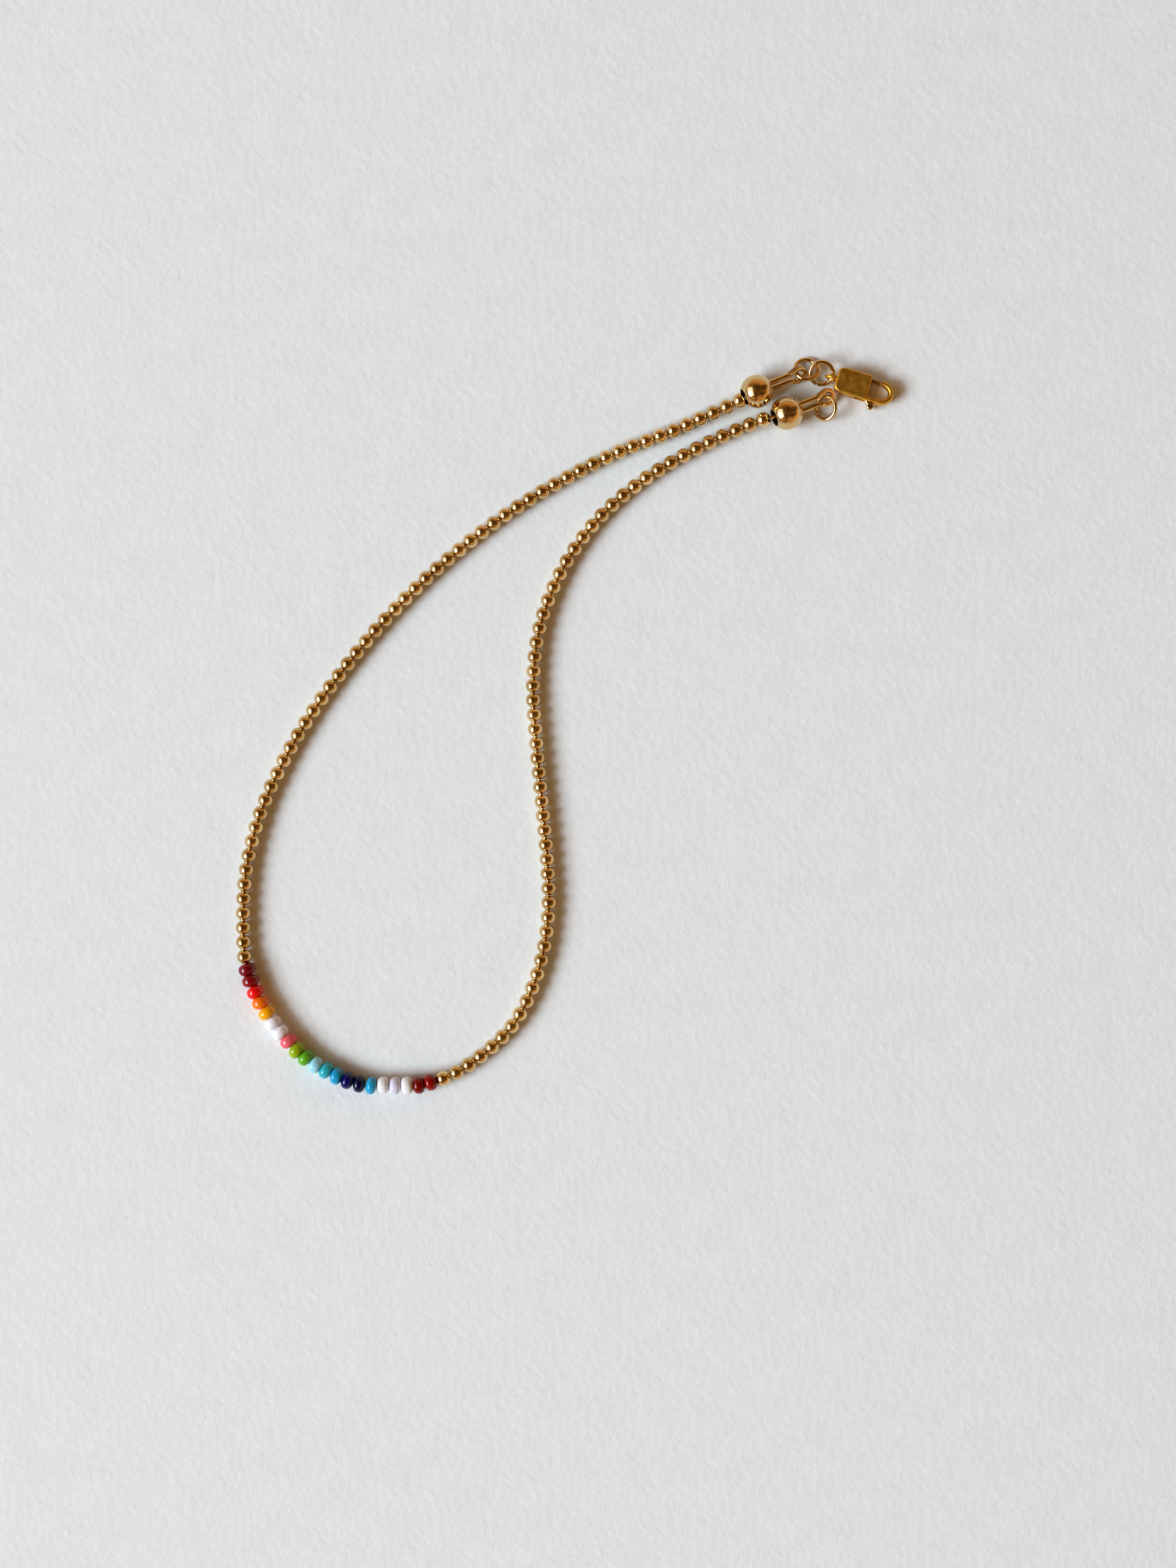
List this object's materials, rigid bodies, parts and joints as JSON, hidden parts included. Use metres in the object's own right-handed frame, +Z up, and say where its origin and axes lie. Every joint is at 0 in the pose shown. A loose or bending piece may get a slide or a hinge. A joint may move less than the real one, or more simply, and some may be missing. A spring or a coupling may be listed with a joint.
{
  "type": "beaded anklet",
  "caption": "Open beaded anklet: a loop of small round gold beads with a row of coloured glass beads, round end beads, wire guards, jump rings and a lobster clasp.",
  "frame": {"origin": "middle of the bounding box, on the surface that the anklet lies on", "axes": "+Z up from the surface, +X to the picture's right and +Y to the picture's top"},
  "size_m": [0.0866, 0.0972, 0.0044],
  "materials": {
    "polished_gold": "polished gold plate",
    "satin_gold": "satin gold plate",
    "beading_wire": "coated stranded beading wire",
    "glass_crimson": "opaque glossy glass",
    "glass_scarlet": "opaque glossy glass",
    "glass_orange": "opaque glossy glass",
    "glass_golden_yellow": "opaque glossy glass",
    "glass_pearl": "opaque glossy glass",
    "glass_coral_pink": "opaque glossy glass",
    "glass_lime": "opaque glossy glass",
    "glass_leaf_green": "opaque glossy glass",
    "glass_ice_blue": "opaque glossy glass",
    "glass_turquoise": "opaque glossy glass",
    "glass_cerulean": "opaque glossy glass",
    "glass_navy": "opaque glossy glass",
    "glass_sky_blue": "opaque glossy glass",
    "glass_white": "opaque glossy glass",
    "glass_lilac": "opaque glossy glass",
    "glass_dark_red": "opaque glossy glass"
  },
  "bodies": {
    "anklet": {"gold_bead_string_left": "polished_gold", "gold_bead_string_right": "polished_gold", "beading_wire": "beading_wire", "end_bead_upper": "polished_gold", "end_bead_lower": "polished_gold", "glass_bead_01_crimson_1": "glass_crimson", "glass_bead_02_crimson_2": "glass_crimson", "glass_bead_03_scarlet": "glass_scarlet", "glass_bead_04_orange": "glass_orange", "glass_bead_05_golden_yellow": "glass_golden_yellow", "glass_bead_06_pearl_1": "glass_pearl", "glass_bead_07_pearl_2": "glass_pearl", "glass_bead_08_coral_pink": "glass_coral_pink", "glass_bead_09_lime": "glass_lime", "glass_bead_10_leaf_green": "glass_leaf_green", "glass_bead_11_ice_blue": "glass_ice_blue", "glass_bead_12_turquoise": "glass_turquoise", "glass_bead_13_cerulean": "glass_cerulean", "glass_bead_14_navy_1": "glass_navy", "glass_bead_15_navy_2": "glass_navy", "glass_bead_16_sky_blue": "glass_sky_blue", "glass_bead_17_white_1": "glass_white", "glass_bead_18_lilac": "glass_lilac", "glass_bead_19_white_2": "glass_white", "glass_bead_20_dark_red_1": "glass_dark_red", "glass_bead_21_dark_red_2": "glass_dark_red", "wire_guard_upper": "polished_gold", "wire_guard_lower": "polished_gold", "jump_ring_guard": "polished_gold", "jump_ring_clasp": "polished_gold", "jump_ring_catch": "polished_gold", "clasp_body": "satin_gold"},
    "lever": {"clasp_lever": "polished_gold"}
  },
  "joints": [
    {"name": "clasp_lever_hinge", "type": "hinge", "parent": "anklet", "child": "lever", "pos_m": [0.03919, 0.0446, 0.0011], "axis": [0, 0, -1], "range_deg": [0, 25], "stiffness_Nm_per_rad": 0.001, "springref_deg": -11.46}
  ]
}
